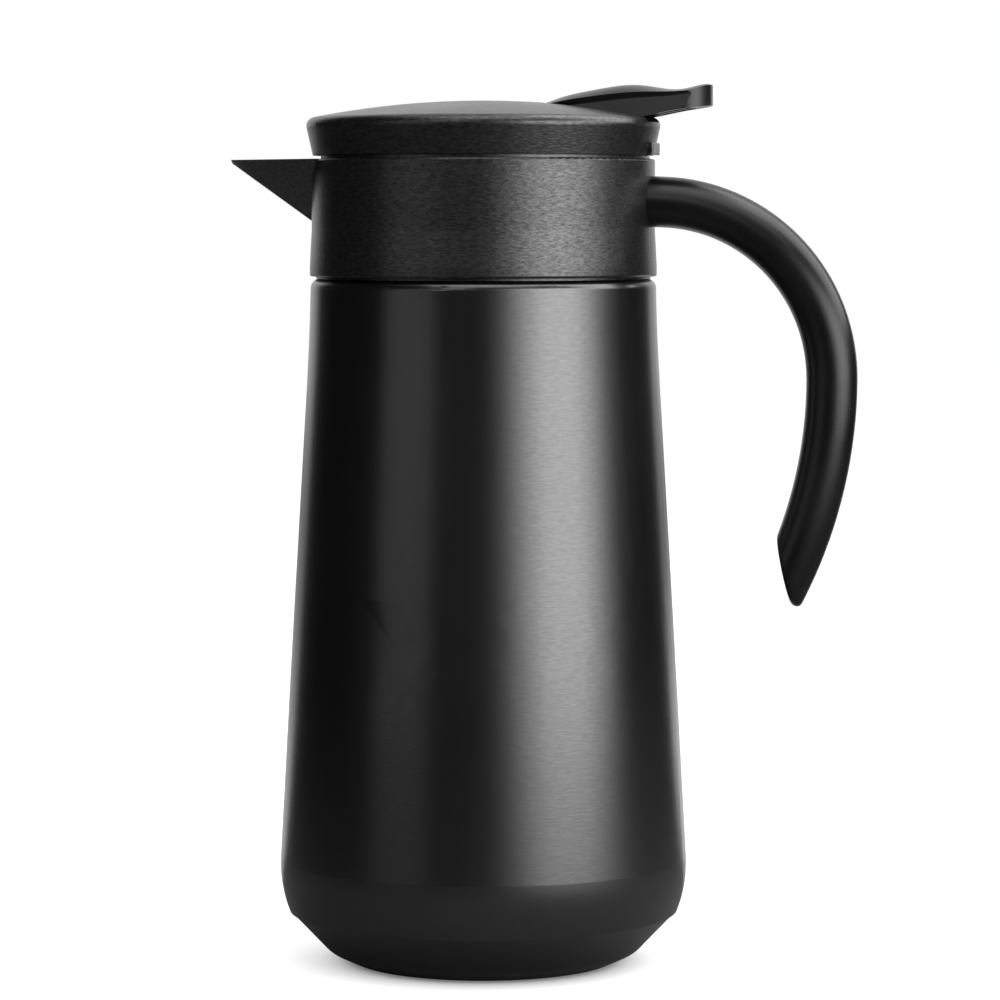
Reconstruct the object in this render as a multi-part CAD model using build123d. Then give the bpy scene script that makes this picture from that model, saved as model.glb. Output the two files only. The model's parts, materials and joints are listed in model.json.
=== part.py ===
from build123d import *
import math
import os

os.makedirs("parts", exist_ok=True)

# Frame: millimetres, +Z up, origin on the jug's axis at the underside of the foot pad.
# +X points to the handle and -X to the spout.

# Steel body, outside
foot_radius = 35.7
foot_gap = 0.3
foot_round = 1.2
base_round_radius = 42.2
base_round_height = 3.3
base_round = 8.0
crease_radius = 52.8
crease_height = 14.0
crease_step = 0.4
belly_corner = (55.6, 21.4)
belly_round = 34.0
flank_corner = (52.15, 83.0)
flank_round = 12000.0
upper_flank_corner = (47.0, 170.0)
upper_flank_round = 500.0
shoulder_radius = 46.6
shoulder_height = 185.6
shoulder_round = 2.6
neck_radius = 36.1
neck_root_round = 2.0
neck_height = 198.3
steel_wall = 0.7

# Steel flask inside the body
flask_floor_height = 9.6
flask_floor_radius = 51.0
flask_floor_round = 14.0
flask_seam_height = 24.0
flask_shoulder_radius = 41.4
flask_shoulder_height = 181.0
flask_shoulder_round = 4.5
flask_neck_radius = 33.8
flask_neck_round = 2.4
flask_rim_thickness = 0.7

# Base
pad_radius = 31.0
pad_thickness = 1.6
pad_round = 0.5
recess_radius = 31.6
recess_round = 0.4
dimple_radius = 8.0
dimple_depth = 1.1
seal_disc_radius = 7.4
seal_disc_thickness = 0.8
getter_radius = 6.0
getter_height = 2.4
getter_offset = 18.0
getter_round = 0.6

# Collar, a plastic ring on the neck that carries spout and handle
collar_bottom = 186.2
collar_top = 217.7
collar_radius = 46.3
collar_flare_radius = 46.85
collar_flare_height = 189.0
collar_flare_round = 12.0
collar_flare_end = 199.0
collar_flare_end_round = 18.0
collar_inner_radius = 43.9
collar_edge_round = 0.6
collar_foot_radius = 45.2
collar_lip_radius = 44.9
collar_lip_top = 218.4
bore_radius = 33.3
bore_wall_radius = 35.6
deck_top = 213.8
deck_bottom = 211.8
seat_height = 200.0
seat_top = 202.0
sleeve_inner_radius = 36.5
sleeve_radius = 39.3
sleeve_bottom = 188.5
neck_gasket_inner_radius = 33.4

# Spout, a V-shaped beak open along its top
spout_tip_reach = 70.3
spout_tip_half_width = 1.5
spout_tip_depth = 0.9
spout_root_reach = 40.0
spout_root_half_width = 22.9
spout_root_depth = 22.1
spout_wall_shift = 3.4
spout_trough_reach = 44.6
spout_tip_round = 0.6

# Handle, a round bar bent in one plane and cut off at a slant
handle_radius = 6.8
handle_start = (44.0, 206.4)
handle_start_slope = 2.7
handle_straight = 6.1
handle_upper_bend = 47.0
handle_upper_turn = 87.3
handle_lower_bend = 125.0
handle_lower_turn = 33.0
handle_cut_corner = (80.2, 118.0)
handle_cut_slant = 12.2
handle_cut_round = 1.6
handle_screw_radius = 1.5
handle_screw_spacing = 5.0
handle_screw_end = 54.0
handle_screw_head_radius = 2.2
handle_screw_head_height = 1.8
handle_screw_head_gap = 0.15
handle_plate_thickness = 1.2
handle_plate_half_width = 7.0
handle_plate_half_height = 4.4
handle_plate_height = 206.9
screw_clearance = 0.05

# Lid cover, a skirt under a shallow dome
lid_bottom = 218.7
lid_bottom_radius = 46.0
lid_corner_radius = 48.15
lid_corner_height = 228.5
lid_edge_round = 2.4
lid_inner_round = 1.2
dome_top = 233.4
dome_radius = 237.0
lid_wall = 2.0
tab_reach = 47.4
tab_half_width = 5.5
tab_top = 222.0
tab_round = 0.5
slot_front = 16.3
slot_side_gap = 0.4
slot_floor = 227.4
slot_rim_start = 44.6
slot_corner_round = 4.6

# Lid deck, the plate that closes the lid from below
lid_deck_bottom = 218.9
lid_deck_top = 221.1
lid_deck_radius = 43.6
spigot_inner_radius = 41.3
post_ring_radius = 38.7
post_radius = 2.5
post_count = 4
lid_screw_radius = 1.1
lid_screw_head_radius = 2.1
lid_screw_head_height = 1.5
lid_screw_end = 226.5
screw_end_gap = 0.4
ear_gap_half = 4.2
ear_thickness = 2.0
ear_round = 3.2

# Stopper
stopper_radius = 31.6
stopper_inner_radius = 29.6
stopper_bottom = 187.5
stopper_floor_top = 191.4
stopper_flange_radius = 36.0
stopper_flange_bottom = 216.7
stopper_edge_round = 0.6
stopper_floor_round = 1.5
valve_seat_radius = 8.5
gasket_low = 188.2
gasket_high = 191.0
gasket_root_radius = 29.4
gasket_body_radius = 31.4
gasket_lip_radius = 32.7
gasket_lip_edge = 0.4
gasket_lip_round = 0.1
port_half_width = 13.0
port_low = 203.5
port_high = 213.5
port_round = 2.0
stopper_screw_ring_radius = 33.8
stopper_screw_radius = 0.9
stopper_screw_head_radius = 1.8
stopper_screw_head_height = 1.1
stopper_screw_count = 3

# Lever, its cross pin and its lifting arm
# Each lever section is its distance from the axis, then the heights of its underside, of the
# waist in its side, of the edge between side and top, and of its crown.
pivot_reach = 33.0
pivot_height = 225.0
pin_radius = 1.25
pin_half_length = 6.5
pin_clearance = 0.05
pin_chamfer = 0.2
hub_radius = 2.9
hub_half_width = 3.9
lever_half_width = 8.6
lever_edge_half_width = 8.2
lever_waist_half_width = 7.7
lever_end_reach = 62.4
lever_front_reach = 16.9
lever_front_round = 4.2
lever_end_round = 8.0
lever_pocket_half_width = 6.4
lever_skin = 1.8
lever_pocket_start = 19.0
lever_pocket_end = 57.5
lever_pocket_depth = 8.0
lever_rib_half_width = 1.2
lever_sections = [
    (15.9, 226.8, 230.6, 231.6, 232.1),
    (20.0, 226.8, 231.1, 232.4, 233.6),
    (27.0, 227.0, 232.1, 233.7, 235.5),
    (35.0, 227.7, 233.0, 234.7, 236.9),
    (42.0, 228.4, 233.7, 235.3, 237.4),
    (49.0, 229.6, 234.1, 235.4, 236.5),
    (56.0, 230.9, 234.7, 235.6, 236.5),
    (63.4, 232.2, 235.3, 235.7, 236.6),
]
arm_low = 222.6
arm_high = 224.2
arm_half_width = 3.6
arm_corner_round = 0.9
arm_gap = 0.6
arm_tip = -3.6
arm_rear = 28.4
arm_slot_half_width = 2.1
arm_slot_end = 0.5
arm_screw_reach = 23.6
arm_screw_radius = 1.0
arm_screw_head_radius = 2.1
arm_screw_head_height = 1.0
arm_screw_end = 230.0

# Valve
rod_radius = 1.6
rod_clearance = 0.05
rod_chamfer = 0.3
rod_bottom = 190.0
head_low = 224.7
head_high = 226.2
head_radius = 4.0
valve_disc_radius = 11.5
valve_disc_low = 193.2
valve_disc_high = 196.2
valve_disc_round = 0.8
valve_spigot_radius = 7.0
valve_spigot_low = 190.5
valve_seal_radius = 11.0
valve_seal_round = 0.4
guide_radius = 2.6
guide_flange_radius = 4.5
guide_flange_top = 222.1
rod_seal_radius = 6.0
rod_seal_low = 217.4
spring_turns = 8
spring_mean_radius = 4.6
spring_wire_radius = 0.45

# How far a cutter runs past what it cuts, and heights below and above everything in the lid
overrun = 1.0
under_lid = 215.0
over_lid = 245.0


def turned(corners):
    """Turn an outline of (radius, height) corners about the axis; a third number rounds a corner."""
    with BuildPart() as solid:
        with BuildSketch(Plane.XZ) as outline:
            with BuildLine():
                Polyline(*[corner[:2] for corner in corners], close=True)
            make_face()
            for corner in corners:
                if len(corner) == 3:
                    spot = outline.vertices().sort_by_distance((corner[0], corner[1], 0))[0]
                    fillet(spot, corner[2])
        revolve(axis=Axis.Z)
    return solid.part


def ring(inner_radius, outer_radius, low, high):
    return turned([(inner_radius, low), (outer_radius, low), (outer_radius, high), (inner_radius, high)])


def rod(radius, low, high, x=0, y=0):
    cylinder = Cylinder(radius, high - low, align=(Align.CENTER, Align.CENTER, Align.MIN))
    return Pos(x, y, low) * cylinder


def block(low_corner, high_corner):
    size = [high - low for low, high in zip(low_corner, high_corner)]
    return Pos(*low_corner) * Box(*size, align=(Align.MIN, Align.MIN, Align.MIN))


def cross_bar(radius, half_length, x, z):
    return Pos(x, 0, z) * Rot(90, 0, 0) * Cylinder(radius, 2 * half_length)


def around(count, radius, first_angle):
    """Places on a circle about the axis, as (x, y)."""
    angles = [math.radians(first_angle + 360 * step / count) for step in range(count)]
    return [(radius * math.cos(angle), radius * math.sin(angle)) for angle in angles]


def shell_side(inset):
    """The body's side from the crease up to the neck's top, moved inwards by a wall thickness."""
    return [
        (crease_radius - inset, crease_height),
        (belly_corner[0] - inset, belly_corner[1], belly_round - inset),
        (flank_corner[0] - inset, flank_corner[1], flank_round),
        (upper_flank_corner[0] - inset, upper_flank_corner[1], upper_flank_round),
        (shoulder_radius - inset, shoulder_height - inset, shoulder_round - inset),
        (neck_radius - inset, shoulder_height - inset, neck_root_round + inset),
        (neck_radius - inset, neck_height),
    ]


def outer_shell():
    return turned(shell_side(0) + shell_side(steel_wall)[::-1])


def flask_side(inset):
    """The flask's side from the middle of its floor up to the neck."""
    return [
        (0, flask_floor_height + inset),
        (flask_floor_radius - inset, flask_floor_height + inset, flask_floor_round - inset),
        (flask_shoulder_radius - inset, flask_shoulder_height - inset, flask_shoulder_round - inset),
        (flask_neck_radius - inset, flask_shoulder_height - inset, flask_neck_round + inset),
    ]


def flask():
    """The whole flask, floor to rim."""
    rim_top = neck_height + flask_rim_thickness
    rim = [
        (flask_neck_radius, neck_height),
        (neck_radius, neck_height),
        (neck_radius, rim_top),
        (flask_neck_radius - steel_wall, rim_top),
    ]
    return turned(flask_side(0) + rim + flask_side(steel_wall)[::-1])


def inner_liner():
    return flask() - rod(flask_floor_radius, 0, flask_seam_height)


def liner_base():
    return flask() & rod(flask_floor_radius, 0, flask_seam_height)


def base_cup():
    """The steel bottom, pressed up in the middle for the pad and once more for the sealing disc."""
    rim_radius = crease_radius - crease_step
    dimple_top = pad_thickness + dimple_depth
    outside = [
        (rim_radius, crease_height),
        (base_round_radius, base_round_height, base_round),
        (foot_radius, foot_gap, foot_round),
        (recess_radius, foot_gap, recess_round),
        (recess_radius, pad_thickness),
        (dimple_radius, pad_thickness),
        (dimple_radius, dimple_top),
        (0, dimple_top),
    ]
    inside = [
        (0, dimple_top + steel_wall),
        (dimple_radius + steel_wall, dimple_top + steel_wall),
        (dimple_radius + steel_wall, pad_thickness + steel_wall),
        (recess_radius + steel_wall, pad_thickness + steel_wall),
        (recess_radius + steel_wall, foot_gap + steel_wall),
        (foot_radius, foot_gap + steel_wall),
        (base_round_radius - steel_wall / 2, base_round_height + steel_wall, base_round - steel_wall),
        (rim_radius - steel_wall * math.sqrt(2), crease_height),
    ]
    return turned(outside + inside)


def foot_pad():
    return turned([(0, 0), (pad_radius, 0, pad_round), (pad_radius, pad_thickness), (0, pad_thickness)])


def vacuum_seal_disc():
    low = pad_thickness + dimple_depth - seal_disc_thickness
    return rod(seal_disc_radius, low, low + seal_disc_thickness)


def getter():
    low = pad_thickness + steel_wall
    pill = rod(getter_radius, low, low + getter_height, getter_offset, 0)
    return fillet(pill.edges().sort_by(Axis.Z)[-1], getter_round)


def spout_section(reach, half_width, depth, rise):
    """A V across the spout, at one distance from the axis, closed by a flat top."""
    corners = [
        (-reach, half_width, collar_top + rise),
        (-reach, half_width, collar_top),
        (-reach, 0, collar_top - depth),
        (-reach, -half_width, collar_top),
        (-reach, -half_width, collar_top + rise),
    ]
    if rise == 0:
        corners = corners[1:4]
    return Face(Wire.make_polygon([Vector(*corner) for corner in corners], close=True))


def spout_beak(shift, rise):
    """The beak as a solid, moved towards the handle by shift and raised above the rim by rise."""
    tip = spout_section(spout_tip_reach - shift, spout_tip_half_width, spout_tip_depth, rise)
    root = spout_section(spout_root_reach - shift, spout_root_half_width, spout_root_depth, rise)
    return Part() + Solid.make_loft([tip.outer_wire(), root.outer_wire()], ruled=True)


def spout_size_at(reach, shift):
    """Half width and depth of the beak at one distance from the axis."""
    share = (spout_tip_reach - shift - reach) / (spout_tip_reach - spout_root_reach)
    half_width = spout_tip_half_width + share * (spout_root_half_width - spout_tip_half_width)
    depth = spout_tip_depth + share * (spout_root_depth - spout_tip_depth)
    return half_width, depth


def spout_trough(shift, rise):
    """The channel that carries on from the beak, through the collar, to the stopper's port."""
    half_width, depth = spout_size_at(spout_trough_reach, shift)
    section = spout_section(spout_trough_reach, half_width, depth, rise)
    bore_edge = math.sqrt(bore_radius**2 - half_width**2)
    return extrude(section, spout_trough_reach - bore_edge + overrun, dir=(1, 0, 0))


def collar():
    """The outer ring with the spout, a foot on the body's shoulder and a lip under the lid."""
    wall = turned(
        [
            (collar_inner_radius, shoulder_height),
            (collar_foot_radius, shoulder_height),
            (collar_foot_radius, collar_bottom),
            (collar_flare_radius, collar_bottom, collar_edge_round),
            (collar_flare_radius, collar_flare_height, collar_flare_round),
            (collar_radius, collar_flare_end, collar_flare_end_round),
            (collar_radius, collar_top, collar_edge_round),
            (collar_lip_radius, collar_top),
            (collar_lip_radius, collar_lip_top),
            (collar_inner_radius, collar_lip_top),
        ]
    )
    wall_middle = (collar_radius + collar_inner_radius) / 2
    beak = spout_beak(0, 0) - rod(wall_middle, sleeve_bottom, collar_top + overrun)
    tip_face = beak.faces().sort_by(Axis.X)[0]
    beak = fillet(tip_face.edges().filter_by(Plane.XY, reverse=True), spout_tip_round)
    channel = spout_beak(spout_wall_shift, overrun) + spout_trough(spout_wall_shift, overrun)
    body = wall + beak - channel
    for height in screw_heights():
        body = body - handle_screw_hole(height, collar_radius + overrun)
    return body


def neck_ring():
    """The sleeve round the steel neck, with the seat that rests on the neck's rim."""
    body = turned(
        [
            (bore_radius, seat_height),
            (sleeve_inner_radius, seat_height),
            (sleeve_inner_radius, sleeve_bottom),
            (sleeve_radius, sleeve_bottom),
            (sleeve_radius, seat_top),
            (bore_radius, seat_top),
        ]
    )
    return body - spout_trough(spout_wall_shift, overrun)


def bore_ring():
    """The wall round the stopper's bore and the deck from it to the collar, open at the trough."""
    body = turned(
        [
            (bore_radius, seat_top),
            (bore_wall_radius, seat_top),
            (bore_wall_radius, deck_bottom),
            (collar_inner_radius, deck_bottom),
            (collar_inner_radius, deck_top),
            (bore_radius, deck_top),
        ]
    )
    return body - spout_trough(spout_wall_shift, overrun)


def pour_channel():
    """The V-shaped trough below the deck, from the bore to the spout."""
    zone = ring(bore_wall_radius, collar_inner_radius, seat_height, deck_bottom)
    zone = zone - rod(sleeve_radius, sleeve_bottom, seat_top)
    return (spout_trough(0, 0) & zone) - spout_trough(spout_wall_shift, overrun)


def collar_gasket():
    rim_top = neck_height + flask_rim_thickness
    return ring(neck_gasket_inner_radius, neck_radius, rim_top, seat_height)


def screw_heights():
    middle = handle_plate_height
    return [middle - handle_screw_spacing / 2, middle + handle_screw_spacing / 2]


def along_x(radius, start, end, height):
    return Pos(start, 0, height) * Rot(0, 90, 0) * Cylinder(
        radius, end - start, align=(Align.CENTER, Align.CENTER, Align.MIN)
    )


def handle_screw_hole(height, end):
    start = collar_inner_radius - handle_plate_thickness - overrun
    return along_x(handle_screw_radius + screw_clearance, start, end, height)


def handle_path():
    """The handle's middle line: a short straight, a tight bend and a long slack one."""
    slope = math.radians(-handle_start_slope)
    start = Vector(handle_start[0], 0, handle_start[1])
    heading = Vector(math.cos(slope), 0, math.sin(slope))
    straight = Line(start, start + heading * handle_straight)
    edges = [straight]
    for bend, turn in ((handle_upper_bend, handle_upper_turn), (handle_lower_bend, handle_lower_turn)):
        start = edges[-1] @ 1
        heading = edges[-1] % 1
        centre = start + Vector(heading.Z, 0, -heading.X) * bend
        middle = (start - centre).rotate(Axis.Y, turn / 2) + centre
        end = (start - centre).rotate(Axis.Y, turn) + centre
        edges.append(ThreePointArc(start, middle, end))
    return Wire(edges)


def handle():
    path = handle_path()
    section = Plane(origin=path @ 0, z_dir=path % 0) * Circle(handle_radius)
    bar = sweep(section, path)
    corner_x, corner_z = handle_cut_corner
    reach = 3 * handle_radius
    waste = block((-reach, -reach, -2 * reach), (0, reach, 0))
    waste = Pos(corner_x, 0, corner_z) * Rot(0, -handle_cut_slant, 0) * waste
    bar = bar - waste
    slant = bar.faces().filter_by(GeomType.PLANE).sort_by(Axis.Z)[0]
    bar = fillet(slant.edges(), handle_cut_round)
    bar = bar - rod(collar_radius, sleeve_bottom, collar_top)
    for height in screw_heights():
        bar = bar - handle_screw_hole(height, handle_screw_end + overrun)
    return bar


def handle_plate():
    low = handle_plate_height - handle_plate_half_height
    high = handle_plate_height + handle_plate_half_height
    zone = block((0, -handle_plate_half_width, low), (collar_radius, handle_plate_half_width, high))
    plate = ring(collar_inner_radius - handle_plate_thickness, collar_inner_radius, low, high) & zone
    for height in screw_heights():
        plate = plate - handle_screw_hole(height, collar_radius)
    return plate


def handle_screws():
    """Two screws driven outwards from inside the collar; one node, two solids."""
    head_end = collar_inner_radius - handle_plate_thickness - handle_screw_head_gap
    screws = []
    for height in screw_heights():
        head = along_x(handle_screw_head_radius, head_end - handle_screw_head_height, head_end, height)
        shank = along_x(handle_screw_radius, head_end, handle_screw_end, height)
        screws.append(head + shank)
    return Compound(children=screws)


def dome_height(radius, inset):
    centre = dome_top - dome_radius
    return centre + math.sqrt((dome_radius - inset) ** 2 - radius**2)


def lid_solid(inset, low):
    """The lid filled in, from a low plane up to the dome, with its surface moved inwards."""
    slope = (lid_corner_radius - lid_bottom_radius) / (lid_corner_height - lid_bottom)
    low_radius = lid_bottom_radius + slope * (low - lid_bottom) - inset
    corner_radius = lid_corner_radius - inset
    corner = (corner_radius, dome_height(corner_radius, inset))
    halfway = (corner_radius / 2, dome_height(corner_radius / 2, inset))
    crown = (0, dome_top - inset)
    with BuildPart() as solid:
        with BuildSketch(Plane.XZ) as outline:
            with BuildLine():
                Polyline(crown, (0, low), (low_radius, low), corner)
                ThreePointArc(corner, halfway, crown)
            make_face()
            spot = outline.vertices().sort_by_distance((*corner, 0))[0]
            fillet(spot, max(lid_edge_round - inset, lid_inner_round))
        revolve(axis=Axis.Z)
    return solid.part


def post_places():
    return around(post_count, post_ring_radius, 45)


def lid_cover():
    """The skirt and dome, with the slot for the lever, the rear tab and the screw posts inside."""
    inside = lid_solid(lid_wall, lid_bottom - overrun)
    cover = lid_solid(0, lid_bottom) - inside
    tab_start = lid_bottom_radius - lid_wall
    tab = block((tab_start, -tab_half_width, lid_bottom), (tab_reach, tab_half_width, tab_top))
    tab = fillet(tab.edges().sort_by(Axis.X)[-4:], tab_round)
    cover = cover + (tab - inside)
    hole_radius = lid_screw_radius + screw_clearance
    for x, y in post_places():
        post = rod(post_radius, lid_deck_top, over_lid, x, y) & inside
        cover = cover + (post - rod(hole_radius, lid_bottom, lid_screw_end + screw_end_gap, x, y))
    half = lever_half_width + slot_side_gap
    opening = block((slot_front, -half, lid_deck_top + overrun), (slot_rim_start, half, over_lid))
    opening = fillet(opening.edges().filter_by(Axis.Z).sort_by(Axis.X)[:2], slot_corner_round)
    notch = block((slot_rim_start - overrun, -half, slot_floor), (lid_corner_radius, half, over_lid))
    return cover - opening - notch


def lid_spigot():
    """The ring under the deck's edge that enters the collar."""
    return ring(spigot_inner_radius, lid_deck_radius, deck_top, lid_deck_bottom)


def lid_deck():
    """The plate under the lid, with two ears for the hinge pin."""
    deck = rod(lid_deck_radius, lid_deck_bottom, lid_deck_top)
    ear_outside = ear_gap_half + ear_thickness
    ears = block(
        (pivot_reach - ear_round, -ear_outside, lid_deck_top),
        (pivot_reach + ear_round, ear_outside, pivot_height),
    )
    ears = ears + cross_bar(ear_round, ear_outside, pivot_reach, pivot_height)
    gap = block(
        (pivot_reach - ear_round, -ear_gap_half, lid_deck_top),
        (pivot_reach + ear_round, ear_gap_half, over_lid),
    )
    deck = deck + (ears - gap) - cross_bar(pin_radius, ear_outside + overrun, pivot_reach, pivot_height)
    holes = [(guide_radius, 0, 0)]
    holes += [(lid_screw_radius + screw_clearance, x, y) for x, y in post_places()]
    holes += [(stopper_screw_radius + screw_clearance, x, y) for x, y in stopper_screw_places()]
    for radius, x, y in holes:
        deck = deck - rod(radius, lid_deck_bottom - overrun, lid_deck_top + overrun, x, y)
    return deck


def lid_screws():
    """Screws driven upwards through the deck into the cover's posts; one node."""
    screws = []
    for x, y in post_places():
        head_low = lid_deck_bottom - lid_screw_head_height
        head = rod(lid_screw_head_radius, head_low, lid_deck_bottom, x, y)
        screws.append(head + rod(lid_screw_radius, lid_deck_bottom, lid_screw_end, x, y))
    return Compound(children=screws)


def stopper_screw_places():
    return around(stopper_screw_count, stopper_screw_ring_radius, 60)


def stopper_screws():
    """Screws driven upwards through the stopper's flange into the deck; one node."""
    screws = []
    for x, y in stopper_screw_places():
        head_low = stopper_flange_bottom - stopper_screw_head_height
        head = rod(stopper_screw_head_radius, head_low, stopper_flange_bottom, x, y)
        screws.append(head + rod(stopper_screw_radius, stopper_flange_bottom, lid_deck_top, x, y))
    return Compound(children=screws)


def stopper_body():
    """A cup with the valve's seat in its floor, a groove for its gasket and a port towards the spout."""
    cup = turned(
        [
            (valve_seat_radius, stopper_bottom, stopper_edge_round),
            (stopper_radius, stopper_bottom, stopper_edge_round),
            (stopper_radius, gasket_low),
            (gasket_root_radius, gasket_low),
            (gasket_root_radius, gasket_high),
            (stopper_radius, gasket_high),
            (stopper_radius, stopper_flange_bottom),
            (stopper_flange_radius, stopper_flange_bottom),
            (stopper_flange_radius, lid_deck_bottom),
            (stopper_inner_radius, lid_deck_bottom),
            (stopper_inner_radius, stopper_floor_top, stopper_floor_round),
            (valve_seat_radius, stopper_floor_top),
        ]
    )
    port = block((-stopper_radius - overrun, -port_half_width, port_low), (0, port_half_width, port_high))
    cup = cup - fillet(port.edges().filter_by(Axis.X), port_round)
    hole_radius = stopper_screw_radius + screw_clearance
    for x, y in stopper_screw_places():
        cup = cup - rod(hole_radius, stopper_flange_bottom - overrun, lid_deck_bottom + overrun, x, y)
    return cup


def stopper_gasket():
    """A silicone ring with two lips."""
    outline = [(gasket_root_radius, gasket_low)]
    lip_height = (gasket_high - gasket_low) / 2
    for low in (gasket_low, gasket_low + lip_height):
        middle = low + lip_height / 2
        outline += [
            (gasket_body_radius, low),
            (gasket_lip_radius, middle - gasket_lip_edge / 2, gasket_lip_round),
            (gasket_lip_radius, middle + gasket_lip_edge / 2, gasket_lip_round),
        ]
    outline += [(gasket_body_radius, gasket_high), (gasket_root_radius, gasket_high)]
    return turned(outline)


def hinge_pin():
    pin = cross_bar(pin_radius, pin_half_length, pivot_reach, pivot_height)
    return chamfer(pin.edges().filter_by(GeomType.CIRCLE), pin_chamfer)


def lever_section(x, low, waist, edge, top):
    """Cross-section of the lever at one distance from the axis: crowned, with waisted sides."""
    side = [
        (lever_edge_half_width, edge),
        (lever_waist_half_width, waist),
        (lever_half_width, low),
    ]
    left = [(x, half, height) for half, height in side]
    right = [(x, -half, height) for half, height in side]
    outline = Polyline(*left, *right[::-1])
    crown = ThreePointArc(left[0], (x, 0, top), right[0])
    return Wire([*outline.edges(), crown])


def lever_zone(start, end, half_width, low):
    return block((start, -half_width, low), (end, half_width, over_lid))


def lever():
    """A crowned paddle, hollow below, with a hub for the pin and a boss for the lift arm's screw."""
    blank = Part() + Solid.make_loft([lever_section(*place) for place in lever_sections], ruled=False)
    plan = lever_zone(lever_front_reach, lever_end_reach, lever_half_width, under_lid)
    corners = plan.edges().filter_by(Axis.Z).sort_by(Axis.X)
    plan = fillet(corners[:2], lever_front_round)
    plan = fillet(plan.edges().filter_by(Axis.Z).sort_by(Axis.X)[-2:], lever_end_round)
    body = blank & plan
    below_skin = Pos(0, 0, -lever_skin) * blank
    below_skin = below_skin + Pos(0, 0, -lever_pocket_depth) * below_skin
    pocket = lever_zone(lever_pocket_start, lever_pocket_end, lever_pocket_half_width, under_lid)
    body = body - (pocket & below_skin)
    boss = lever_zone(lever_pocket_start, arm_rear + arm_gap, hub_half_width, arm_high)
    rib = lever_zone(arm_rear + arm_gap, lever_pocket_end, lever_rib_half_width, pivot_height)
    web = lever_zone(pivot_reach - hub_radius, pivot_reach + hub_radius, hub_half_width, pivot_height)
    inner = (boss + (rib & blank) + web) & (below_skin + Pos(0, 0, -lever_skin / 2) * blank)
    body = body + inner + cross_bar(hub_radius, hub_half_width, pivot_reach, pivot_height)
    body = body - cross_bar(pin_radius + pin_clearance, lever_half_width, pivot_reach, pivot_height)
    hole_radius = arm_screw_radius + screw_clearance
    return body - rod(hole_radius, under_lid, arm_screw_end + screw_end_gap, arm_screw_reach, 0)


def lift_arm():
    """A plate from the lever to the valve rod, with a fork that lies under the rod's head."""
    plate = block((arm_tip, -arm_half_width, arm_low), (arm_rear, arm_half_width, arm_high))
    plate = fillet(plate.edges().filter_by(Axis.Z), arm_corner_round)
    fork = block(
        (arm_tip - overrun, -arm_slot_half_width, arm_low - overrun),
        (arm_slot_end, arm_slot_half_width, arm_high + overrun),
    )
    holes = [(arm_slot_half_width, arm_slot_end), (arm_screw_radius + screw_clearance, arm_screw_reach)]
    for radius, reach in holes:
        plate = plate - rod(radius, arm_low - overrun, arm_high + overrun, reach, 0)
    return plate - fork


def lift_arm_screw():
    head = rod(arm_screw_head_radius, arm_low - arm_screw_head_height, arm_low, arm_screw_reach, 0)
    return head + rod(arm_screw_radius, arm_low, arm_screw_end, arm_screw_reach, 0)


def valve_rod():
    stem = rod(rod_radius, rod_bottom, head_high)
    return chamfer(stem.edges().filter_by(GeomType.CIRCLE), rod_chamfer)


def rod_head():
    return ring(rod_radius, head_radius, head_low, head_high)


def valve_disc():
    """A disc above the seat, with a spigot that centres it in the seat's hole."""
    return turned(
        [
            (rod_radius, valve_spigot_low),
            (valve_spigot_radius, valve_spigot_low, valve_disc_round),
            (valve_spigot_radius, valve_disc_low),
            (valve_disc_radius, valve_disc_low),
            (valve_disc_radius, valve_disc_high, valve_disc_round),
            (rod_radius, valve_disc_high),
        ]
    )


def valve_seal():
    return turned(
        [
            (valve_spigot_radius, stopper_floor_top),
            (valve_seal_radius, stopper_floor_top, valve_seal_round),
            (valve_seal_radius, valve_disc_low, valve_seal_round),
            (valve_spigot_radius, valve_disc_low),
        ]
    )


def rod_guide():
    bore = rod_radius + rod_clearance
    barrel = ring(bore, guide_radius, lid_deck_bottom, lid_deck_top)
    return barrel + ring(bore, guide_flange_radius, lid_deck_top, guide_flange_top)


def rod_seal():
    return ring(rod_radius + 2 * rod_clearance, rod_seal_radius, rod_seal_low, lid_deck_bottom)


def valve_spring():
    """One unbroken helix between the valve disc and the rod seal."""
    low = valve_disc_high + spring_wire_radius
    height = rod_seal_low - spring_wire_radius - low
    coil = Helix(height / spring_turns, height, spring_mean_radius, center=(0, 0, low))
    section = Plane(origin=coil @ 0, z_dir=coil % 0) * Circle(spring_wire_radius)
    print("valve_spring gap between turns", round(height / spring_turns - 2 * spring_wire_radius, 2))
    return sweep(section, coil)


PIECES = [
    outer_shell,
    inner_liner,
    liner_base,
    base_cup,
    foot_pad,
    vacuum_seal_disc,
    getter,
    collar,
    neck_ring,
    bore_ring,
    pour_channel,
    collar_gasket,
    handle,
    handle_plate,
    handle_screws,
    lid_cover,
    lid_deck,
    lid_spigot,
    lid_screws,
    stopper_body,
    stopper_gasket,
    stopper_screws,
    rod_guide,
    rod_seal,
    hinge_pin,
    lever,
    lift_arm,
    lift_arm_screw,
    valve_rod,
    rod_head,
    valve_disc,
    valve_seal,
    valve_spring,
]

for make in PIECES:
    export_step(make(), f"parts/{make.__name__}.step")
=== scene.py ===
import json
import math

import bpy
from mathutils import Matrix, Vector

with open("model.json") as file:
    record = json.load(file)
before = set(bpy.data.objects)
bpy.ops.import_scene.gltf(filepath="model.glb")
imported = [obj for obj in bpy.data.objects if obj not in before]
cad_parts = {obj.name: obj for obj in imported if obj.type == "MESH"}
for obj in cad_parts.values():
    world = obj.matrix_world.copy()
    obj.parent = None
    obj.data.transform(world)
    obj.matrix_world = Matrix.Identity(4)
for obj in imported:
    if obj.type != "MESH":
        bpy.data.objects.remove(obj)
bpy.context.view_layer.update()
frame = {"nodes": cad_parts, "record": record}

# Lengths are in metres and lamp powers in watts
MM = 0.001

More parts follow.
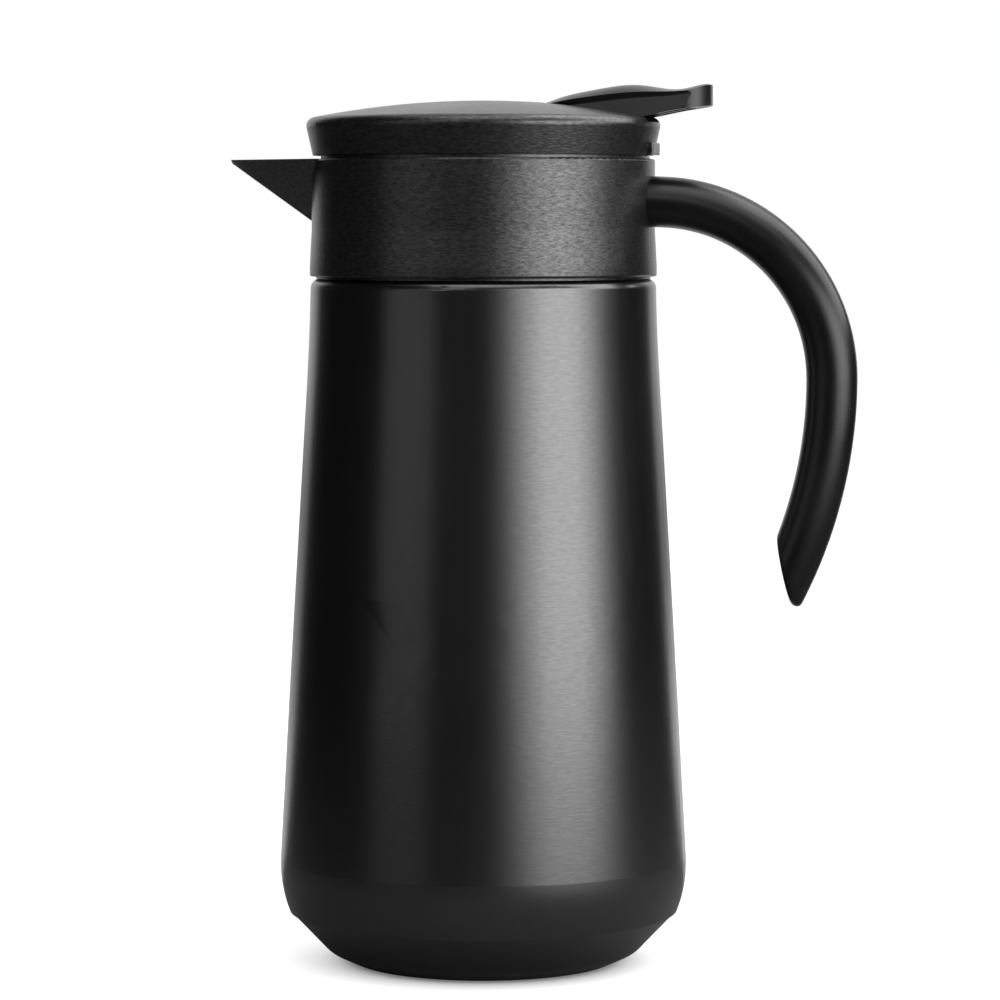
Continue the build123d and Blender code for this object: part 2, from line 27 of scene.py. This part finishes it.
# The photograph's view; the lens and the sensor are in millimetres
VIEW_AZIMUTH = math.radians(12.0)
CAMERA_DISTANCE = 1.1326
CAMERA_HEIGHT = 0.2027
CAMERA_SIDE = 0.0045
CAMERA_PITCH = math.radians(3.896)
CAMERA_LENS = 150.66
CAMERA_SENSOR = 36.0

TOWARD_CAMERA = Vector((math.sin(VIEW_AZIMUTH), -math.cos(VIEW_AZIMUTH), 0))
TO_THE_RIGHT = Vector((math.cos(VIEW_AZIMUTH), math.sin(VIEW_AZIMUTH), 0))
UP = Vector((0, 0, 1))

# Lamps stand at an angle in degrees from the camera's direction, positive to its right, and all aim at
# one point of the axis; a lamp's distance is measured level from the axis, and its height to its centre
LAMP_AIM_HEIGHT = 0.12
KEY_ANGLE = 49.3
KEY_DISTANCE = 1.05
KEY_CENTRE_HEIGHT = 0.285
# Width, height and power of lamps that stand one behind another, so that the light fades to its edges
KEY_LAYERS = ((1.90, 0.84, 2.42), (1.38, 0.74, 4.35), (0.99, 0.68, 4.08), (0.58, 0.60, 2.25))
# Lamps in the same plane would hide each other
KEY_LAYER_GAP = 0.005
# The size is the lamp's width and height
OTHER_LAMPS = (
    {"name": "fill", "angle": -49.0, "distance": 1.6, "height": 0.45, "size": (1.0, 0.9), "power": 1.3},
    {"name": "front", "angle": -22.0, "distance": 1.6, "height": 0.95, "size": (0.7, 0.6), "power": 2.2},
    {"name": "top", "angle": 5.0, "distance": 0.6, "height": 1.3, "size": (1.2, 0.9), "power": 6.5},
    {"name": "side", "angle": 101.0, "distance": 0.9, "height": 1.05, "size": (1.1, 1.5), "power": 20.0},
)

# How bright the surroundings are for the light that surfaces scatter
AMBIENT = 0.4

FLOOR_HALF_WIDTH = 4.0
# The floor's grey where it lights the jug, and where the camera sees it
LIT_FLOOR_GREY = 0.8
SEEN_FLOOR_GREY = 0.3
# How strongly the camera sees the floor glow by itself, in the painted shadow near the jug and away from it
FLOOR_GLOW_IN_PAINTED_SHADOW = 0.18
FLOOR_GLOW_FAR = 0.975
# Painted contact shadow: the glow starts to rise at this distance from the axis, and what it still lacks
# shrinks to 1/e with every fade length below; after the count of fade lengths below it rises no more
PAINTED_SHADOW_START = 0.036
PAINTED_SHADOW_FADE = 0.0085
PAINTED_SHADOW_FADES = 8.0

# The dark room stands round the object and is open behind it, by this many degrees to each side; its
# floor fades from grey to black with the distance from the axis
ROOM_OPENING = 38.0
ROOM_RADIUS = 1.75
ROOM_HEIGHT = 3.0
ROOM_STEPS = 48
NEAR_FLOOR_RADIUS = 0.085
FAR_FLOOR_RADIUS = 0.42
NEAR_FLOOR_GREY = 0.13
FAR_FLOOR_GREY = 0.004
DARK_FLOOR_LIFT = 0.0004


def toward(angle):
    """The level direction at an angle from the camera's, positive to its right."""
    turn = math.radians(angle)
    return TOWARD_CAMERA * math.cos(turn) + TO_THE_RIGHT * math.sin(turn)


def add_node(tree, kind, inputs=(), **settings):
    """A shader node with its inputs filled in; an input may be a value or another node's output."""
    node = tree.nodes.new(kind)
    for name, value in settings.items():
        setattr(node, name, value)
    for name, value in dict(inputs).items():
        if isinstance(value, bpy.types.NodeSocket):
            tree.links.new(value, node.inputs[name])
        else:
            node.inputs[name].default_value = value
    return node


def new_material(name):
    material = bpy.data.materials.new(name)
    material.use_nodes = True
    tree = material.node_tree
    tree.nodes.clear()
    output = add_node(tree, "ShaderNodeOutputMaterial")
    return material, tree, output


def object_place(tree):
    """The place on the object, in metres."""
    return add_node(tree, "ShaderNodeTexCoord").outputs["Object"]


def distance_from_jug(tree):
    """How far a place on the level floor is from the jug's axis."""
    place = {0: object_place(tree)}
    return add_node(tree, "ShaderNodeVectorMath", place, operation="LENGTH").outputs["Value"]


def noise(tree, scale, detail=2.0, roughness=0.5):
    """Smooth noise; the scale says how many grains a metre holds along each axis."""
    stretch = {"Vector": object_place(tree), "Scale": scale}
    place = add_node(tree, "ShaderNodeMapping", stretch).outputs["Vector"]
    inputs = {"Vector": place, "Scale": 1.0, "Detail": detail, "Roughness": roughness}
    return add_node(tree, "ShaderNodeTexNoise", inputs).outputs["Fac"]


def remap(tree, value, low, high, start=0.3, end=0.7):
    """Turns start to end into low to high, held at both ends; most of a noise lies in 0.3 to 0.7."""
    inputs = {"Value": value, "From Min": start, "From Max": end, "To Min": low, "To Max": high}
    return add_node(tree, "ShaderNodeMapRange", inputs).outputs["Result"]


def blend_colours(tree, share, first, second):
    inputs = {"Factor": share, "A": (*first, 1), "B": (*second, 1)}
    return add_node(tree, "ShaderNodeMix", inputs, data_type="RGBA").outputs["Result"]


def bump(tree, height, strength, distance, below=None):
    """A surface roughened by a height, on top of the bump below it if there is one."""
    inputs = {"Height": height, "Strength": strength, "Distance": distance}
    if below is not None:
        inputs["Normal"] = below
    return add_node(tree, "ShaderNodeBump", inputs).outputs["Normal"]


def principled(tree, output, **inputs):
    """The material's shader; specular_ior_level stands for the input Specular IOR Level, and so on."""
    names = {name.replace("_", " ").title().replace("Ior", "IOR"): value for name, value in inputs.items()}
    shader = add_node(tree, "ShaderNodeBsdfPrincipled", names)
    tree.links.new(shader.outputs["BSDF"], output.inputs["Surface"])


def grey(value, blue=1.04):
    """A grey with a slight lean to blue."""
    return (value, value, value * blue)


def body_coat():
    """Satin black coat: level streaks, fine specks, a faint orange peel and slow changes of gloss."""
    material, tree, output = new_material("satin_black_coat")
    cloud = noise(tree, (28, 28, 16), detail=3.0)
    speck = noise(tree, (2600, 2600, 2600), detail=1.0)
    streak = noise(tree, (420, 420, 2600), detail=2.0, roughness=0.6)
    peel = noise(tree, (900, 900, 900), detail=1.5)
    colour = blend_colours(tree, remap(tree, cloud, 0, 1), grey(0.0012), grey(0.0022))
    roughness = remap(tree, cloud, 0.25, 0.27)
    shine = remap(tree, streak, 0.90, 1.08)
    grain = bump(tree, streak, strength=0.16, distance=0.05 * MM)
    grain = bump(tree, speck, strength=0.12, distance=0.03 * MM, below=grain)
    grain = bump(tree, peel, strength=0.10, distance=0.05 * MM, below=grain)
    principled(tree, output, base_color=colour, roughness=roughness, specular_ior_level=shine, normal=grain)
    return material


def grained_plastic():
    """Black plastic with a fine grain of short streaks that run round the jug."""
    material, tree, output = new_material("grained_black_plastic")
    streak = noise(tree, (620, 620, 2300), detail=2.5, roughness=0.7)
    speck = noise(tree, (1500, 1500, 2300), detail=1.5)
    cloud = noise(tree, (35, 35, 22), detail=3.0)
    colour = blend_colours(tree, remap(tree, streak, 0, 1), grey(0.002), grey(0.007))
    roughness = remap(tree, cloud, 0.30, 0.35)
    shine = remap(tree, streak, 0.34, 1.0)
    grain = bump(tree, streak, strength=0.50, distance=0.08 * MM)
    grain = bump(tree, speck, strength=0.30, distance=0.06 * MM, below=grain)
    principled(tree, output, base_color=colour, roughness=roughness, specular_ior_level=shine, normal=grain)
    return material


def smooth_plastic():
    """Satin black plastic with fine specks, whose gloss changes slowly from place to place."""
    material, tree, output = new_material("satin_black_plastic")
    cloud = noise(tree, (45, 45, 45), detail=3.0)
    speck = noise(tree, (1900, 1900, 1900), detail=1.5)
    colour = blend_colours(tree, remap(tree, cloud, 0, 1), grey(0.002), grey(0.004))
    roughness = remap(tree, cloud, 0.27, 0.33)
    grain = bump(tree, speck, strength=0.12, distance=0.04 * MM)
    principled(tree, output, base_color=colour, roughness=roughness, specular_ior_level=0.36, normal=grain)
    return material


def inner_plastic():
    """Plain moulded plastic with the marks of a turned mould."""
    material, tree, output = new_material("moulded_black_plastic")
    cloud = noise(tree, (60, 60, 60), detail=3.0)
    speck = noise(tree, (1500, 1500, 1500), detail=2.0)
    turning = noise(tree, (90, 90, 3200), detail=1.0)
    colour = blend_colours(tree, remap(tree, cloud, 0, 1), grey(0.018), grey(0.028))
    roughness = remap(tree, speck, 0.42, 0.56)
    grain = bump(tree, speck, strength=0.20, distance=0.05 * MM)
    grain = bump(tree, turning, strength=0.10, distance=0.05 * MM, below=grain)
    principled(tree, output, base_color=colour, roughness=roughness, normal=grain)
    return material


def brushed_steel(name, light, dark, smoothest, roughest):
    """Stainless steel with fine level lines and faint stains."""
    material, tree, output = new_material(name)
    line = noise(tree, (150, 150, 6500), detail=3.0, roughness=0.7)
    stain = noise(tree, (40, 40, 25), detail=4.0)
    colour = blend_colours(tree, remap(tree, stain, 0, 1), dark, light)
    roughness = remap(tree, line, smoothest, roughest)
    grain = bump(tree, line, strength=0.25, distance=0.03 * MM)
    principled(tree, output, base_color=colour, metallic=1.0, roughness=roughness, normal=grain)
    return material


def flask_steel():
    return brushed_steel(
        "flask_steel", light=(0.63, 0.63, 0.64), dark=(0.55, 0.54, 0.53), smoothest=0.20, roughest=0.34
    )


def small_steel():
    return brushed_steel(
        "small_steel", light=(0.60, 0.60, 0.61), dark=(0.47, 0.47, 0.48), smoothest=0.24, roughest=0.40
    )


def getter_metal():
    """Pressed metal powder, dull and granular."""
    material, tree, output = new_material("pressed_powder_metal")
    speck = noise(tree, (2400, 2400, 2400), detail=3.0, roughness=0.7)
    colour = blend_colours(tree, remap(tree, speck, 0, 1), grey(0.34), grey(0.62))
    grain = bump(tree, speck, strength=0.6, distance=0.08 * MM)
    principled(tree, output, base_color=colour, metallic=0.7, roughness=0.62, normal=grain)
    return material


def foot_rubber():
    """Matt black rubber with a granular skin."""
    material, tree, output = new_material("matt_black_rubber")
    speck = noise(tree, (1300, 1300, 1300), detail=3.0, roughness=0.65)
    dust = noise(tree, (120, 120, 120), detail=4.0)
    colour = blend_colours(tree, remap(tree, dust, 0, 1), grey(0.018), grey(0.034))
    grain = bump(tree, speck, strength=0.5, distance=0.10 * MM)
    roughness = remap(tree, speck, 0.72, 0.88)
    principled(tree, output, base_color=colour, roughness=roughness, specular_ior_level=0.4, normal=grain)
    return material


def silicone():
    """Milky silicone, slightly translucent, with a fine frosted skin."""
    material, tree, output = new_material("milky_silicone")
    cloud = noise(tree, (160, 160, 160), detail=3.0)
    speck = noise(tree, (1800, 1800, 1800), detail=2.0)
    colour = blend_colours(tree, remap(tree, cloud, 0, 1), (0.66, 0.66, 0.64), (0.76, 0.76, 0.74))
    grain = bump(tree, speck, strength=0.25, distance=0.05 * MM)
    roughness = remap(tree, speck, 0.38, 0.52)
    principled(
        tree, output, base_color=colour, roughness=roughness, normal=grain,
        subsurface_weight=0.25, subsurface_radius=(1.0, 1.0, 1.0), subsurface_scale=0.8 * MM,
    )
    return material


def dress_nodes():
    """Gives every CAD node the material of its slot."""
    makers = {
        "body_coat": body_coat,
        "grained_plastic": grained_plastic,
        "smooth_plastic": smooth_plastic,
        "inner_plastic": inner_plastic,
        "flask_steel": flask_steel,
        "small_steel": small_steel,
        "getter_metal": getter_metal,
        "foot_rubber": foot_rubber,
        "silicone": silicone,
    }
    finishes = {slot: make() for slot, make in makers.items()}
    for row in frame["record"]["subparts"]:
        node = frame["nodes"][row["node"]]
        node.data.materials.clear()
        node.data.materials.append(finishes[row["material_slot"]])


def link_object(name, data):
    item = bpy.data.objects.new(name, data)
    bpy.context.scene.collection.objects.link(item)
    return item


def add_lamp(name, angle, distance, height, size, power):
    """A flat lamp at a level distance from the jug's axis, unseen by the camera."""
    light = bpy.data.lights.new(name, "AREA")
    light.shape = "RECTANGLE"
    light.size, light.size_y = size
    light.energy = power
    lamp = link_object(name, light)
    lamp.location = toward(angle) * distance + UP * height
    aim = UP * LAMP_AIM_HEIGHT - lamp.location
    lamp.rotation_euler = aim.to_track_quat("-Z", "Y").to_euler()
    lamp.visible_camera = False


def add_lamps():
    for layer, (width, height, power) in enumerate(KEY_LAYERS):
        distance = KEY_DISTANCE - KEY_LAYER_GAP * layer
        add_lamp(f"key_{layer}", KEY_ANGLE, distance, KEY_CENTRE_HEIGHT, (width, height), power)
    for lamp in OTHER_LAMPS:
        add_lamp(**lamp)


def add_world():
    """White where the camera, gloss or glass sees it, and a low even light for the rest."""
    world = bpy.data.worlds.new("studio")
    bpy.context.scene.world = world
    world.use_nodes = True
    tree = world.node_tree
    tree.nodes.clear()
    output = add_node(tree, "ShaderNodeOutputWorld")
    path = add_node(tree, "ShaderNodeLightPath")
    seen = path.outputs["Is Camera Ray"]
    for ray in ("Is Glossy Ray", "Is Transmission Ray"):
        either = {0: seen, 1: path.outputs[ray]}
        seen = add_node(tree, "ShaderNodeMath", either, operation="MAXIMUM").outputs[0]
    strength = remap(tree, seen, AMBIENT, 1.0, 0.0, 1.0)
    background = add_node(tree, "ShaderNodeBackground", {"Color": (1, 1, 1, 1), "Strength": strength})
    tree.links.new(background.outputs["Background"], output.inputs["Surface"])


def floor_glow_with_painted_shadow(tree):
    """How strongly the floor glows: weak under the jug to paint a contact shadow, up to white away from it.
    """
    painted_shadow_end = PAINTED_SHADOW_START + PAINTED_SHADOW_FADES * PAINTED_SHADOW_FADE
    fades = remap(tree, distance_from_jug(tree), 0.0, -PAINTED_SHADOW_FADES, PAINTED_SHADOW_START, painted_shadow_end)
    painted_shadow = add_node(tree, "ShaderNodeMath", {0: fades}, operation="EXPONENT").outputs[0]
    return remap(tree, painted_shadow, FLOOR_GLOW_FAR, FLOOR_GLOW_IN_PAINTED_SHADOW, 0.0, 1.0)


def white_floor():
    """A floor that the camera sees as part glow with a painted contact shadow and part lit surface, and
    that is plain for other rays.
    """
    material, tree, output = new_material("white_floor")
    plain = add_node(tree, "ShaderNodeBsdfDiffuse", {"Color": (*grey(LIT_FLOOR_GREY, 1.0), 1)})
    lit = add_node(tree, "ShaderNodeBsdfDiffuse", {"Color": (*grey(SEEN_FLOOR_GREY, 1.0), 1)})
    glow = add_node(tree, "ShaderNodeEmission", {"Color": (1, 1, 1, 1), "Strength": floor_glow_with_painted_shadow(tree)})
    seen = add_node(tree, "ShaderNodeAddShader", {0: lit.outputs["BSDF"], 1: glow.outputs["Emission"]})
    by_camera = add_node(tree, "ShaderNodeLightPath").outputs["Is Camera Ray"]
    choice = {0: by_camera, 1: plain.outputs["BSDF"], 2: seen.outputs["Shader"]}
    mix = add_node(tree, "ShaderNodeMixShader", choice)
    tree.links.new(mix.outputs["Shader"], output.inputs["Surface"])
    return material


def add_floor():
    half = FLOOR_HALF_WIDTH
    mesh = bpy.data.meshes.new("floor")
    corners = [(-half, -half, 0), (half, -half, 0), (half, half, 0), (-half, half, 0)]
    mesh.from_pydata(corners, [], [(0, 1, 2, 3)])
    mesh.materials.append(white_floor())
    floor = link_object("floor", mesh)


def shaded_floor():
    """Matt grey by the jug, fading to black with the distance from it."""
    material, tree, output = new_material("shaded_floor")
    share = remap(tree, distance_from_jug(tree), 1, 0, NEAR_FLOOR_RADIUS, FAR_FLOOR_RADIUS)
    colour = blend_colours(tree, share, grey(FAR_FLOOR_GREY, 1.0), grey(NEAR_FLOOR_GREY, 1.0))
    cloud = noise(tree, (6, 6, 6), detail=3.0)
    principled(tree, output, base_color=colour, roughness=remap(tree, cloud, 0.85, 0.95))
    return material


def add_dark_room():
    """Floor and walls round the front that only reflections see; the walls are black."""
    half_turn = 180.0 - ROOM_OPENING
    points = []
    for step in range(ROOM_STEPS + 1):
        way = toward(-half_turn + 2 * half_turn * step / ROOM_STEPS)
        centre = UP * DARK_FLOOR_LIFT
        wall_foot = way * ROOM_RADIUS + UP * DARK_FLOOR_LIFT
        wall_top = way * ROOM_RADIUS + UP * ROOM_HEIGHT
        points += [tuple(centre), tuple(wall_foot), tuple(wall_top)]
    faces = []
    for step in range(ROOM_STEPS):
        first = 3 * step
        for low in (first, first + 1):
            faces.append((low, low + 3, low + 4, low + 1))
    mesh = bpy.data.meshes.new("dark_room")
    mesh.from_pydata(points, [], faces)
    mesh.materials.append(shaded_floor())
    room = link_object("dark_room", mesh)
    room.visible_camera = False
    room.visible_diffuse = False
    room.visible_shadow = False


def add_camera():
    data = bpy.data.cameras.new("camera")
    data.lens = CAMERA_LENS
    data.sensor_width = CAMERA_SENSOR
    camera = link_object("camera", data)
    camera.location = TO_THE_RIGHT * CAMERA_SIDE + TOWARD_CAMERA * CAMERA_DISTANCE + UP * CAMERA_HEIGHT
    aim = -TOWARD_CAMERA * math.cos(CAMERA_PITCH) - UP * math.sin(CAMERA_PITCH)
    camera.rotation_euler = aim.to_track_quat("-Z", "Y").to_euler()
    bpy.context.scene.camera = camera


dress_nodes()
add_camera()
add_world()
add_floor()
add_dark_room()
add_lamps()
bpy.context.scene.view_settings.view_transform = "Standard"
